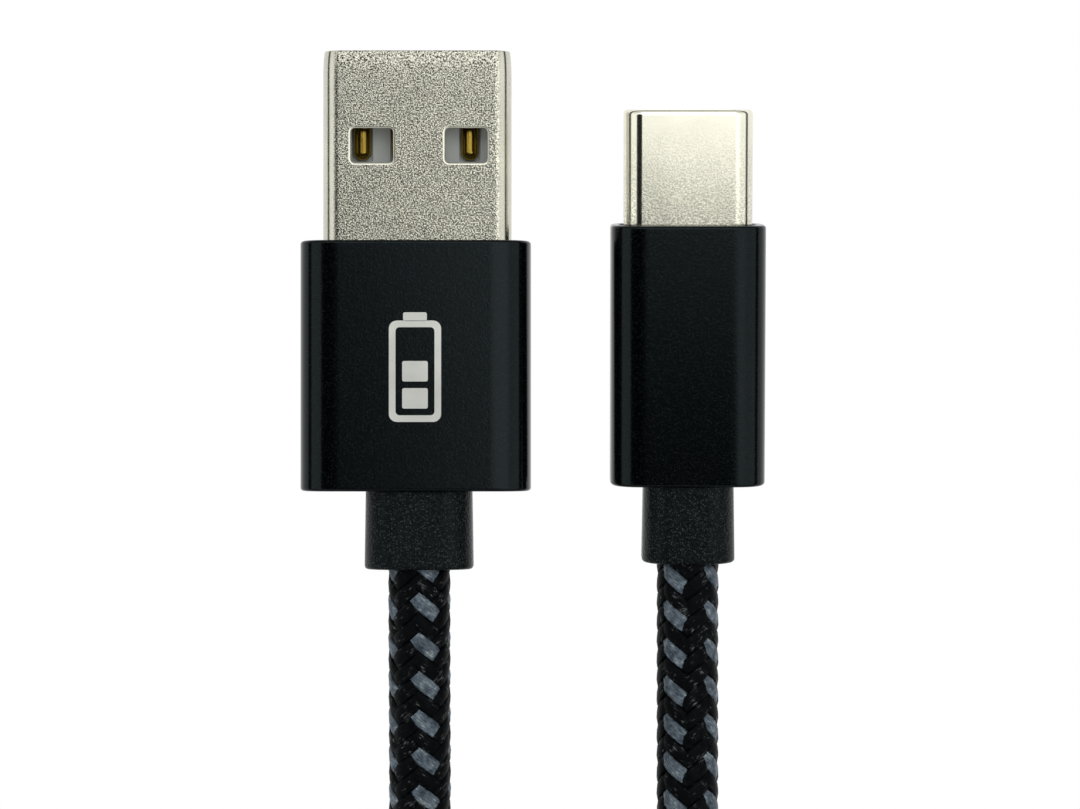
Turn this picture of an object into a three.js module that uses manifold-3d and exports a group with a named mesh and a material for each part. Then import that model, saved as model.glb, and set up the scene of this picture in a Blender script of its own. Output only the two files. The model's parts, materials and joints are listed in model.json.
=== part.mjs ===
// Charging cable: a flat rectangular four-contact plug ("a") and a small reversible plug ("c") on one
// braided cord, which is folded into a tied hank. Millimetres, +Z up, both plugs lie on z = 0 with their
// tips towards +Y. The origin is the bottom centre of the box round the two plugs.
import * as THREE from 'three';
import { mergeVertices } from 'three/addons/utils/BufferGeometryUtils.js';
import Module from 'manifold-3d';

const wasm = await Module();
wasm.setup();

// ---- Driving dimensions -------------------------------------------------------------------------
const CORD_DIAMETER = 4.0;
const CORD_REST = 2.05; // height of the cord's middle where it lies on the table
const FACE_GAP = 0.3; // between the cord's solids and what they meet
const FIT = 0.05; // running gap round pieces that sit inside one another
const CORNER_STEPS = 5; // facets on one rounded corner

const A = {
  place: [-7.38, 4.4, 3.5], // middle of the sleeve's front opening
  shell: { width: 12.0, height: 4.5, corner: 0.7, wall: 0.3, tip: 12.1, rear: -6.4 },
  window: { width: 2.7, length: 2.2, x: 2.995, y: 6.05, offset: 0.145 },
  tongue: { recess: 0.3, top: 0, rear: 3.3 },
  contact: { width: 1.25, front: 11.0, end: 5.2, tailWidth: 0.6, tailEnd: -8.6 },
  contactXs: [-3.56, -1.1, 0.87, 3.33],
  sleeve: { width: 14.7, height: 7.0, corner: 2.0, wall: 0.6, length: 15.9, offset: -0.1 },
  relief: { width: 6.8, endWidth: 6.95, height: 5.4, corner: 1.9, neckWidth: 6.0, neckHeight: 4.4,
    length: 5.0, neck: 1.8, offset: 0.09 },
  cavity: { width: 10.6, height: 4.2, rear: -13.9 },
  jacketFront: -11.0,
  wire: { start: -6.8, height: 0.37 },
};

const C = {
  pitch: 5, // degrees, tip up
  sleeve: { width: 9.9, height: 5.8, corner: 1.9, wall: 0.6, length: 16.6, offset: 0 },
  shell: { width: 8.25, height: 2.4, corner: 1.19, wall: 0.22, tip: 7.3, rear: -3.2 },
  shoulder: { y: 0.05, step: 0.06 }, // the shell is drawn in a little where the mould grips it
  mouth: { width: 6.8, height: 1.5, corner: 0.2, recess: 0.3, rear: 0.3 },
  contact: { width: 0.25, thickness: 0.12, root: 0.46, tailEnd: -4.8 },
  wafer: { width: 6.1, height: 0.22, rear: -2.6 },
  upperXs: [-2.75, -1.25, -0.75, -0.25, 0.25, 1.25, 2.75],
  lowerXs: [-2.75, -1.25, 0.75, 1.25, 2.75],
  latchX: 3.45,
  card: { width: 6.4, thickness: 0.6, front: -3.3, rear: -8.4 },
  relief: { width: 5.8, endWidth: 5.96, height: 4.8, corner: 1.75, neckWidth: 4.8, neckHeight: 3.6,
    length: 5.0, neck: 1.6, offset: 0.07 },
  cavity: { width: 7.6, height: 3.9, rear: -14.5 },
  jacketFront: -11.9,
  wire: { start: -6.9, height: 0.85, spread: [-1.2, 1.2] },
};

const JACKET_DIAMETER = 3.0;
const FERRULE = { diameter: 3.7, length: 2.2, setback: 0.3 };
const WIRE = { diameter: 0.9, bundle: 0.5 };

// The hank: five turns in two columns, pinched to a waist under the strap.
const HANK = {
  x: 1.3,
  loopY: -60, // middle of the end loop nearer the plugs
  innerRadius: 12, // of the inner column at an end loop, to the cord's middle
  waistRadius: 18.5, // of the inner column at the waist
  column: 4.05, // from one column or layer to the next
  height: 12.3,
  waistHeight: 13.5,
  waistLift: 1.3, // the cord rides over the strap here
  waistReach: 12,
};
const STRAP = { width: 8, thickness: 1.0, halfWidth: 10.2, height: 14.9, corner: 1.3 };

const COLOURS = {
  nickel: { color: 0xb9b6a6, roughness: 0.32, metalness: 1 },
  steel: { color: 0xc9c9c6, roughness: 0.3, metalness: 1 },
  gold: { color: 0xc9a24a, roughness: 0.25, metalness: 1 },
  whitePlastic: { color: 0xe9eae6, roughness: 0.5, metalness: 0 },
  blackPlastic: { color: 0x121416, roughness: 0.6, metalness: 0 },
  anodised: { color: 0x0b1014, roughness: 0.45, metalness: 0.6 },
  elastomer: { color: 0x15181b, roughness: 0.75, metalness: 0 },
  braid: { color: 0x23272c, roughness: 0.85, metalness: 0 },
  strap: { color: 0x17191c, roughness: 0.9, metalness: 0 },
  card: { color: 0x1c5a36, roughness: 0.5, metalness: 0 },
  chip: { color: 0x1a1a1c, roughness: 0.4, metalness: 0 },
  red: { color: 0xb3261e, roughness: 0.5, metalness: 0 },
  white: { color: 0xe6e6e2, roughness: 0.5, metalness: 0 },
  green: { color: 0x1f8a43, roughness: 0.5, metalness: 0 },
  black: { color: 0x17181a, roughness: 0.5, metalness: 0 },
};

// ---- Making solids ------------------------------------------------------------------------------
const materials = Object.fromEntries(
  Object.entries(COLOURS).map(([name, look]) => [name, new THREE.MeshStandardMaterial(look)]),
);

function piece(name, geometry, material, group) {
  const mesh = new THREE.Mesh(geometry, materials[material]);
  mesh.name = name;
  group.add(mesh);
  return mesh;
}

function toSolid(geometry) {
  const bare = geometry.clone();
  bare.deleteAttribute('normal');
  bare.deleteAttribute('uv');
  const merged = mergeVertices(bare, 1e-5);
  const vertProperties = new Float32Array(merged.attributes.position.array);
  const triVerts = new Uint32Array(merged.index.array);
  return new wasm.Manifold(new wasm.Mesh({ numProp: 3, vertProperties, triVerts }));
}

function toGeometry(solid) {
  const { vertProperties, triVerts } = solid.getMesh();
  const geometry = new THREE.BufferGeometry();
  geometry.setAttribute('position', new THREE.BufferAttribute(new Float32Array(vertProperties), 3));
  geometry.setIndex(new THREE.BufferAttribute(new Uint32Array(triVerts), 1));
  const flat = geometry.toNonIndexed();
  flat.computeVertexNormals();
  return flat;
}

function cut(geometry, ...tools) {
  return toGeometry(tools.reduce((solid, tool) => solid.subtract(toSolid(tool)), toSolid(geometry)));
}

function join(geometry, ...others) {
  return toGeometry(others.reduce((solid, other) => solid.add(toSolid(other)), toSolid(geometry)));
}

function roundedOutline(width, height, corner) {
  const [x, y] = [width / 2 - corner, height / 2 - corner];
  const shape = new THREE.Shape();
  shape.absarc(x, y, corner, 0, Math.PI / 2, false);
  shape.absarc(-x, y, corner, Math.PI / 2, Math.PI, false);
  shape.absarc(-x, -y, corner, Math.PI, Math.PI * 1.5, false);
  shape.absarc(x, -y, corner, Math.PI * 1.5, Math.PI * 2, false);
  shape.closePath();
  return shape;
}

// A bar of this outline along the plug, from y = front back to y = rear.
function alongPlug(shape, front, rear) {
  const geometry = new THREE.ExtrudeGeometry(shape, {
    depth: front - rear,
    bevelEnabled: false,
    curveSegments: CORNER_STEPS,
  });
  geometry.rotateX(Math.PI / 2);
  geometry.translate(0, front, 0);
  return geometry;
}

function roundedBar(width, height, corner, front, rear) {
  return alongPlug(roundedOutline(width, height, corner), front, rear);
}

function block(width, height, front, rear, x = 0, z = 0) {
  return new THREE.BoxGeometry(width, front - rear, height).translate(x, (front + rear) / 2, z);
}

function rod(diameter, front, rear, sides = 16) {
  return new THREE.CylinderGeometry(diameter / 2, diameter / 2, front - rear, sides)
    .translate(0, (front + rear) / 2, 0);
}

// A strip of this thickness whose middle line runs through points of (y, z), cut to this width.
function bentStrip(line, thickness, width, x = 0) {
  const half = thickness / 2;
  const outline = [
    ...line.map(([y, z]) => new THREE.Vector2(y, z - half)),
    ...line.toReversed().map(([y, z]) => new THREE.Vector2(y, z + half)),
  ];
  return new THREE.ExtrudeGeometry(new THREE.Shape(outline), { depth: width, bevelEnabled: false })
    .rotateX(Math.PI / 2)
    .rotateZ(Math.PI / 2)
    .translate(x - width / 2, 0, 0);
}

// A pipe of constant section along a smooth line through these points.
function pipe(points, diameter, sides, steps) {
  const section = new THREE.Shape();
  for (let i = 0; i < sides; i += 1) {
    const turn = ((i + 0.5) / sides) * Math.PI * 2;
    const [x, y] = [Math.cos(turn) * diameter / 2, Math.sin(turn) * diameter / 2];
    if (i === 0) section.moveTo(x, y);
    else section.lineTo(x, y);
  }
  section.closePath();
  const extrudePath = new THREE.CatmullRomCurve3(points.map((p) => new THREE.Vector3(...p)));
  return new THREE.ExtrudeGeometry(section, { steps, extrudePath, bevelEnabled: false });
}

// Widens a bar towards its rear end, to endWidth there.
function flared(geometry, front, rear, width, endWidth) {
  const places = geometry.attributes.position;
  for (let i = 0; i < places.count; i += 1) {
    const share = THREE.MathUtils.clamp((front - places.getY(i)) / (front - rear), 0, 1);
    places.setX(i, places.getX(i) * (1 + share * (endWidth / width - 1)));
  }
  return geometry;
}

// ---- Pieces that both plugs have ----------------------------------------------------------------
// An aluminium sleeve: a drawn tube of rounded section, open at both ends.
function sleeve(plug) {
  const { width, height, corner, wall, length, offset } = plug.sleeve;
  return cut(
    roundedBar(width, height, corner, 0, -length),
    roundedBar(width - 2 * wall, height - 2 * wall, corner - wall, 1, -length - 1),
  ).translate(offset, 0, 0);
}

// The plastic core that fills the sleeve: it grips the shell in front and the strain relief behind.
function innerMould(plug) {
  const { sleeve: around, shell, relief, cavity } = plug;
  const [width, height] = [around.width - 2 * around.wall, around.height - 2 * around.wall];
  const pocket = [shell.width + 2 * FIT, shell.height + 2 * FIT, shell.corner + FIT];
  const neck = [relief.neckWidth + 2 * FIT, relief.neckHeight + 2 * FIT, relief.corner - 0.5 + FIT];
  const pocketRear = shell.rear - 0.2;
  const body = roundedBar(width - 2 * FIT, height - 2 * FIT, around.corner - around.wall - FIT, -0.1,
    -around.length + 0.1).translate(around.offset, 0, 0);
  return cut(
    body,
    roundedBar(...pocket, 1, pocketRear),
    block(cavity.width, cavity.height, pocketRear + 0.1, cavity.rear),
    roundedBar(...neck, cavity.rear + 0.1, -around.length - 1).translate(relief.offset, 0, 0),
  );
}

// The elastomer strain relief: a neck inside the sleeve and a slightly flared tail behind it.
function strainRelief(plug) {
  const { sleeve: around, relief } = plug;
  const tailFront = -around.length - FIT;
  const tailRear = -around.length - relief.length;
  const tail = flared(
    roundedBar(relief.width, relief.height, relief.corner, tailFront, tailRear),
    tailFront, tailRear, relief.width, relief.endWidth,
  );
  const neck = roundedBar(relief.neckWidth, relief.neckHeight, relief.corner - 0.5,
    -around.length + relief.neck, tailFront - 0.2);
  const bore = rod(JACKET_DIAMETER + 2 * FIT, 0, tailRear - 1);
  return cut(join(tail, neck), bore).translate(relief.offset, 0, 0);
}

// The cord's inner jacket, which runs from the wires out to the end of the strain relief.
function jacketEnd(plug) {
  const rear = -plug.sleeve.length - plug.relief.length;
  return rod(JACKET_DIAMETER - 0.04, plug.jacketFront, rear).translate(plug.relief.offset, 0, 0);
}

// A brass ferrule crimped round the jacket's front end.
function crimpFerrule(plug) {
  const front = plug.jacketFront - FERRULE.setback;
  const rear = front - FERRULE.length;
  const bore = rod(JACKET_DIAMETER + 2 * FIT, front + 1, rear - 1);
  return cut(rod(FERRULE.diameter, front, rear), bore).translate(plug.relief.offset, 0, 0);
}

// One insulated wire, from its solder joint to the bundle in the jacket.
function wire(plug, from, bundleX, bundleZ) {
  const end = plug.jacketFront + FACE_GAP;
  const [x, z] = from;
  const reach = plug.wire.start - end;
  const points = [
    [x, plug.wire.start, z],
    [x, plug.wire.start - reach * 0.2, z],
    [(x + bundleX) / 2, plug.wire.start - reach * 0.5, (z + bundleZ) / 2],
    [bundleX, plug.wire.start - reach * 0.85, bundleZ],
    [bundleX, end, bundleZ],
  ];
  return pipe(points, WIRE.diameter, 8, 8);
}

// ---- The rectangular plug -----------------------------------------------------------------------
// The folded nickel-plated shell, with two square windows in its upper and lower faces.
function plugAShell() {
  const { width, height, corner, wall, tip, rear } = A.shell;
  const windows = [-1, 1].map((side) =>
    block(A.window.width, height + 1, A.window.y + A.window.length / 2,
      A.window.y - A.window.length / 2, side * A.window.x + A.window.offset));
  return cut(
    roundedBar(width, height, corner, tip, rear),
    roundedBar(width - 2 * wall, height - 2 * wall, corner - wall, tip + 1, rear - 1),
    ...windows,
  );
}

// A contact: a domed strip on the tongue, and a narrow tail that runs back to its solder joint.
function plugAContact(x, grow = 0) {
  const { width, front, end, tailWidth, tailEnd } = A.contact;
  const half = width / 2 + grow;
  const dome = new THREE.Shape();
  dome.moveTo(-half, -0.3 - grow);
  dome.lineTo(half, -0.3 - grow);
  dome.lineTo(half, -0.02 + grow);
  dome.absellipse(0, -0.02 + grow, half, 0.27 + grow, 0, Math.PI, false, 0);
  dome.closePath();
  const strip = alongPlug(dome, front + grow, end - grow);
  const tail = block(tailWidth + 2 * grow, 0.2 + 2 * grow, end + 0.3, tailEnd, 0, -0.2);
  return join(strip, tail).translate(x, 0, 0);
}

// The white insulator: a low tongue in front and a full-height block behind, with a groove per contact.
function plugAInsulator() {
  const { width, height, corner, wall, tip } = A.shell;
  const inside = [width - 2 * wall - 2 * FIT, height - 2 * wall - 2 * FIT];
  const front = tip - A.tongue.recess;
  const above = block(width, height, front + 1, A.tongue.rear, 0, A.tongue.top + height / 2);
  return cut(
    roundedBar(...inside, corner - wall, front, -5.9),
    above,
    ...A.contactXs.map((x) => plugAContact(x, FIT)),
  );
}

function plugA() {
  const group = new THREE.Group();
  group.position.set(...A.place);
  piece('a_shell', plugAShell(), 'nickel', group);
  piece('a_insulator', plugAInsulator(), 'whitePlastic', group);
  A.contactXs.forEach((x, i) => piece(`a_contact_${i + 1}`, plugAContact(x), 'gold', group));
  piece('a_sleeve', sleeve(A), 'anodised', group);
  piece('a_inner_mould', innerMould(A), 'blackPlastic', group);
  piece('a_strain_relief', strainRelief(A), 'elastomer', group);
  piece('a_jacket_end', jacketEnd(A), 'blackPlastic', group);
  piece('a_crimp_ferrule', crimpFerrule(A), 'gold', group);
  const wires = [['black', 1, -1], ['green', 1, 1], ['white', -1, 1], ['red', -1, -1]].toReversed();
  wires.forEach(([colour, sideX, sideZ], i) => {
    const geometry = wire(A, [A.contactXs[i], A.wire.height],
      sideX * WIRE.bundle, sideZ * WIRE.bundle);
    piece(`a_wire_${colour}`, geometry, colour, group);
  });
  return group;
}

// ---- The reversible plug ------------------------------------------------------------------------
// The deep-drawn shell: an oval tube.
function plugCShell() {
  const { width, height, corner, wall, tip, rear } = C.shell;
  const { y, step } = C.shoulder;
  return cut(
    join(
      roundedBar(width, height, corner, tip, y),
      roundedBar(width - 2 * step, height - 2 * step, corner - step, y + 1, rear),
    ),
    roundedBar(width - 2 * wall, height - 2 * wall, corner - wall, tip + 1, rear - 1),
  );
}

// The black housing inside the shell: a mouth in front, and a block that grips the contacts behind.
function plugCHousing() {
  const { width, height, corner, wall, tip } = C.shell;
  const { mouth, contact } = C;
  const front = tip - mouth.recess;
  const rear = -3.0;
  const slots = [-1, 1].map((side) =>
    block(C.wafer.width + 2 * FIT, C.wafer.height + 2 * FIT, mouth.rear + 0.1, rear - 1, 0,
      side * contact.root));
  const latchSlots = [-1, 1].map((side) => block(0.62, 0.7, 6.2, mouth.rear, side * 3.6));
  const springWindows = block(6.4, height, front + 1, 5.3);
  return cut(
    roundedBar(width - 2 * wall - 2 * FIT, height - 2 * wall - 2 * FIT, corner - wall - FIT, front, rear),
    roundedBar(mouth.width, mouth.height, mouth.corner, front + 1, mouth.rear),
    block(7.2, 0.24, mouth.rear + 0.1, rear - 1),
    ...slots,
    ...latchSlots,
    springWindows,
  );
}

// A contact's spring beam: it slopes in to a bump near the mouth, and its tip curls out again.
function plugCBeam(x) {
  const { width, thickness, root } = C.contact;
  const line = [[0.4, root], [1.2, root], [4.2, 0.29], [4.6, 0.26], [5.0, 0.31], [5.2, 0.37]];
  return bentStrip(line, thickness, width, x);
}

// The wafer that one row of contacts is moulded into, with their fixed tails behind it on the card.
function plugCWafer(xs) {
  const { width, thickness, root, tailEnd } = C.contact;
  const bar = block(C.wafer.width, C.wafer.height, C.mouth.rear, C.wafer.rear, 0, root);
  const tails = xs.map((x) => block(width, thickness, C.wafer.rear + 0.2, tailEnd, x, root));
  return join(bar, ...tails);
}

// A side latch: a flat spring arm whose hook reaches into the mouth.
function plugCLatch() {
  const x = C.latchX;
  const line = [[x, 0.4], [x, 4.2], [x - 0.3, 4.75], [x - 0.05, 5.3]];
  const outline = [
    ...line.map(([px, py]) => new THREE.Vector2(px + 0.08, py)),
    ...line.toReversed().map(([px, py]) => new THREE.Vector2(px - 0.08, py)),
  ];
  return new THREE.ExtrudeGeometry(new THREE.Shape(outline), { depth: 0.5, bevelEnabled: false })
    .translate(0, 0, -0.25);
}

// A grounding spring at the mouth: a cross bar with three bent fingers.
function plugCGroundSpring() {
  const finger = [[5.55, 0.72], [5.8, 0.72], [6.3, 0.5], [6.6, 0.5], [6.85, 0.6]];
  const bar = block(5.8, 0.1, 5.75, 5.45, 0, 0.72);
  return join(bar, ...[-2, 0, 2].map((x) => bentStrip(finger, 0.1, 1.2, x)));
}

function plugC() {
  const group = new THREE.Group();
  const pitch = THREE.MathUtils.degToRad(C.pitch);
  const lift = C.sleeve.length * Math.sin(pitch) + (C.sleeve.height / 2) * Math.cos(pitch);
  group.position.set(9.88, 5.5, lift);
  group.rotation.x = pitch;
  const turned = (geometry) => geometry.rotateY(Math.PI);
  piece('c_shell', plugCShell(), 'nickel', group);
  piece('c_housing', plugCHousing(), 'blackPlastic', group);
  C.upperXs.forEach((x, i) => piece(`c_upper_contact_${i + 1}`, plugCBeam(x), 'gold', group));
  C.lowerXs.forEach((x, i) => piece(`c_lower_contact_${i + 1}`, turned(plugCBeam(x)), 'gold', group));
  piece('c_upper_wafer', plugCWafer(C.upperXs), 'blackPlastic', group);
  piece('c_lower_wafer', turned(plugCWafer(C.lowerXs)), 'blackPlastic', group);
  piece('c_latch_right', plugCLatch(), 'steel', group);
  piece('c_latch_left', turned(plugCLatch()), 'steel', group);
  piece('c_mid_plate', block(7.1, 0.14, 0.25, -2.7), 'steel', group);
  piece('c_upper_ground_spring', plugCGroundSpring(), 'steel', group);
  piece('c_lower_ground_spring', turned(plugCGroundSpring()), 'steel', group);
  piece('c_card', block(C.card.width, C.card.thickness, C.card.front, C.card.rear), 'card', group);
  piece('c_resistor', block(1.0, 0.35, -5.2, -5.8, 1.6, 0.54), 'chip', group);
  piece('c_sleeve', sleeve(C), 'anodised', group);
  piece('c_inner_mould', innerMould(C), 'blackPlastic', group);
  piece('c_strain_relief', strainRelief(C), 'elastomer', group);
  piece('c_jacket_end', jacketEnd(C), 'blackPlastic', group);
  piece('c_crimp_ferrule', crimpFerrule(C), 'gold', group);
  const wires = [['red', -1, 1], ['green', 1, 1], ['white', -1, -1], ['black', 1, -1]];
  wires.forEach(([colour, sideX, sideZ]) => {
    const from = [sideX * C.wire.spread[1], sideZ * C.wire.height];
    piece(`c_wire_${colour}`, wire(C, from, sideX * WIRE.bundle, sideZ * WIRE.bundle), colour, group);
  });
  return group;
}

// ---- The cord -----------------------------------------------------------------------------------
// The middle line of the cord from the rectangular plug to the widest part of the hank's first loop.
const leadA = [
  [-7.29, -16.8, 3.5], [-7.29, -19.5, 3.45], [-7.29, -22.5, 3.22], [-7.29, -25.5, 2.9],
  [-7.29, -28.5, 2.56], [-7.29, -31.5, 2.27], [-7.35, -34.5, 2.1], [-7.75, -37.5, CORD_REST],
  [-8.65, -40.5, CORD_REST], [-9.8, -43.5, CORD_REST], [-11.05, -46.5, CORD_REST],
  [-12.25, -49.5, CORD_REST], [-13.35, -52.5, CORD_REST], [-14.2, -55.5, CORD_REST],
  [-14.63, -58.0, CORD_REST], [-14.75, -60.0, CORD_REST],
];
// And from the reversible plug to the widest part of the hank's last, inner loop.
const leadC = [
  [9.95, -16.32, 2.43], [9.95, -19.3, 2.2], [9.95, -22.3, 2.08], [9.95, -25.5, CORD_REST],
  [9.95, -29.0, CORD_REST], [9.95, -32.5, CORD_REST], [10.05, -36.0, CORD_REST],
  [10.35, -39.5, CORD_REST], [10.85, -43.0, CORD_REST], [11.45, -46.5, CORD_REST],
  [12.1, -50.0, CORD_REST], [12.7, -53.5, CORD_REST], [13.15, -57.0, CORD_REST],
  [13.3, -60.0, CORD_REST],
];

// The hank seen from above: two round end loops and a pinched waist, all arcs that meet smoothly.
function hankOutline(grow = 0) {
  const { innerRadius, waistRadius, column } = HANK;
  const outward = column + CORD_REST + grow;
  const waistX = column / 2 + waistRadius;
  const loopReach = Math.sqrt((innerRadius + waistRadius) ** 2 - waistX ** 2);
  const lean = Math.atan2(loopReach, waistX);
  const [loop, waist] = [innerRadius + outward, waistRadius - outward];
  const shape = new THREE.Shape();
  shape.absarc(0, loopReach, loop, -lean, Math.PI + lean, false);
  shape.absarc(-waistX, 0, waist, lean, -lean, true);
  shape.absarc(0, -loopReach, loop, Math.PI - lean, Math.PI * 2 + lean, false);
  shape.absarc(waistX, 0, waist, Math.PI + lean, Math.PI - lean, true);
  shape.closePath();
  return { shape, middleY: HANK.loopY - loopReach };
}

function hankBody(height, grow = 0) {
  const { shape, middleY } = hankOutline(grow);
  return new THREE.ExtrudeGeometry(shape, { depth: height, bevelEnabled: false, curveSegments: 20 })
    .translate(HANK.x, middleY, 0);
}

// The wound cord as one body, lower at its loops, with a notch under it for the strap.
function hank() {
  const { middleY } = hankOutline();
  const { waistReach, waistHeight, waistLift } = HANK;
  const tall = waistHeight + 1;
  const loops = block(60, tall, middleY + 60, middleY + waistReach, HANK.x, HANK.height + tall / 2);
  const otherLoops = block(60, tall, middleY - waistReach, middleY - 60, HANK.x,
    HANK.height + tall / 2);
  const notch = block(60, waistLift * 2, middleY + STRAP.width / 2 + FACE_GAP,
    middleY - STRAP.width / 2 - FACE_GAP, HANK.x);
  return cut(hankBody(waistHeight), loops, otherLoops, notch);
}

// One free end of the cord, trimmed where it reaches the hank.
function lead(points, steps) {
  const hankSpace = hankBody(HANK.waistHeight, FACE_GAP).translate(0, 0, -1);
  return cut(pipe(points, CORD_DIAMETER, 10, steps), hankSpace);
}

// The hook-and-loop strap: a flat band closed round the waist of the hank.
function strap() {
  const { width, thickness, halfWidth, height, corner } = STRAP;
  const { middleY } = hankOutline();
  const [front, rear] = [middleY + width / 2, middleY - width / 2];
  return cut(
    roundedBar(halfWidth * 2, height, corner, front, rear),
    roundedBar((halfWidth - thickness) * 2, height - 2 * thickness, corner - thickness, front + 1,
      rear - 1),
  ).translate(HANK.x, 0, height / 2);
}

function cord() {
  const group = new THREE.Group();
  piece('cord_lead_a', lead(leadA, 12), 'braid', group);
  piece('cord_lead_c', lead(leadC, 12), 'braid', group);
  piece('cord_hank', hank(), 'braid', group);
  piece('hank_strap', strap(), 'strap', group);
  return group;
}

const cable = new THREE.Group();
cable.add(plugA(), plugC(), cord());

export default cable;
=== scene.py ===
import json
import math
import bmesh
import bpy
import numpy as np
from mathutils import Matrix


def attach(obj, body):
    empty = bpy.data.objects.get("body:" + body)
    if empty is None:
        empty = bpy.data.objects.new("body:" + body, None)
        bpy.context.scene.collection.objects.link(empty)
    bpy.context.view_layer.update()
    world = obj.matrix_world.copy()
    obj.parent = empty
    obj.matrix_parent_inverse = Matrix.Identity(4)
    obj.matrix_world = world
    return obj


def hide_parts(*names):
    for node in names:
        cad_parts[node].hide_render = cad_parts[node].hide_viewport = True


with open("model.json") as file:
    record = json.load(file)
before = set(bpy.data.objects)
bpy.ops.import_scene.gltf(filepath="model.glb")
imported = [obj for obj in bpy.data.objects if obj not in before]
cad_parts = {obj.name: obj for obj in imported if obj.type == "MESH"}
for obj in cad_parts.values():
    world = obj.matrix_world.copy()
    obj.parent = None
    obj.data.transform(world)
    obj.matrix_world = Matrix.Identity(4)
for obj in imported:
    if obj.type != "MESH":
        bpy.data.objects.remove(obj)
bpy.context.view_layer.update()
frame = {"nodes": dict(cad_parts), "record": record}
MM = 0.001

# ==== Camera =====================================================================================
# It looks straight down at the two plugs and the first few centimetres of the cord, from about 23 cm.
CAMERA_PLACE = (0.44 * MM, -6.0 * MM, 228.5 * MM)
CAMERA_LENS = 117.0

camera_data = bpy.data.cameras.new("camera")
camera_data.lens = CAMERA_LENS
camera_data.sensor_width = 36.0
camera_data.clip_start = 0.01
camera_data.clip_end = 10.0
camera = bpy.data.objects.new("camera", camera_data)
camera.location = CAMERA_PLACE
bpy.context.collection.objects.link(camera)
bpy.context.scene.camera = camera
bpy.context.scene.view_settings.view_transform = "Standard"

# ==== Braided cord ===============================================================================
# One cord a metre long, 4 mm thick: a round core in a braid of sixteen flat yarns, eight laid each way,
# over two and under two. Four of the eight that lean one way are blue-grey, and all the rest are black.
# It leaves the rectangular plug, is wound five times round a pinched hank, and goes into the oval plug.
CORD_REST = 2.05  # height of the cord's middle where it lies on the table
HANK_X = 1.3
HANK_LOOP_Y = -60.0  # middle of the end loop nearer the plugs
INNER_RADIUS = 12.0  # of the inner column of turns at an end loop
WAIST_RADIUS = 18.5  # of the inner column where the strap pinches the hank
COLUMN = 4.05  # from one column or layer of turns to the next
TURNS = 5
OUTER_TURNS = 3
WAIST_LIFT = 1.3  # the turns ride over the strap here
WAIST_REACH = 12.0
RAMP_START, RAMP_LENGTH = 8.0, 25.0  # of the climb to the next layer, from the waist
CROSS_START, CROSS_LENGTH = 2.0, 20.0  # of the step from the outer column to the inner one
SINK_LENGTH = 22.0  # of the inner turns' step down, from the widest point of the loop
LINE_STEP = 1.0  # from one point of the wound cord's line to the next, before it is smoothed
SMOOTHING = 2.5  # each point of the line is averaged over this length to each side

lead_a = [
    (-7.29, -15.5, 3.5), (-7.29, -16.8, 3.5), (-7.29, -19.5, 3.45), (-7.29, -22.5, 3.22),
    (-7.29, -25.5, 2.9), (-7.29, -28.5, 2.56), (-7.29, -31.5, 2.27), (-7.35, -34.5, 2.1),
    (-7.75, -37.5, CORD_REST), (-8.65, -40.5, CORD_REST), (-9.8, -43.5, CORD_REST),
    (-11.05, -46.5, CORD_REST), (-12.25, -49.5, CORD_REST), (-13.35, -52.5, CORD_REST),
    (-14.2, -55.5, CORD_REST), (-14.63, -58.0, CORD_REST),
]
lead_c = [
    (9.95, -15.02, 2.54), (9.95, -16.32, 2.43), (9.95, -19.3, 2.2), (9.95, -22.3, 2.08),
    (9.95, -25.5, CORD_REST), (9.95, -29.0, CORD_REST), (9.95, -32.5, CORD_REST),
    (10.05, -36.0, CORD_REST), (10.35, -39.5, CORD_REST), (10.85, -43.0, CORD_REST),
    (11.45, -46.5, CORD_REST), (12.1, -50.0, CORD_REST), (12.7, -53.5, CORD_REST),
    (13.15, -57.0, CORD_REST),
]


def ease(share):
    """0 to 1, starting and ending level."""
    return (1 - math.cos(math.pi * min(max(share, 0.0), 1.0))) / 2


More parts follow.
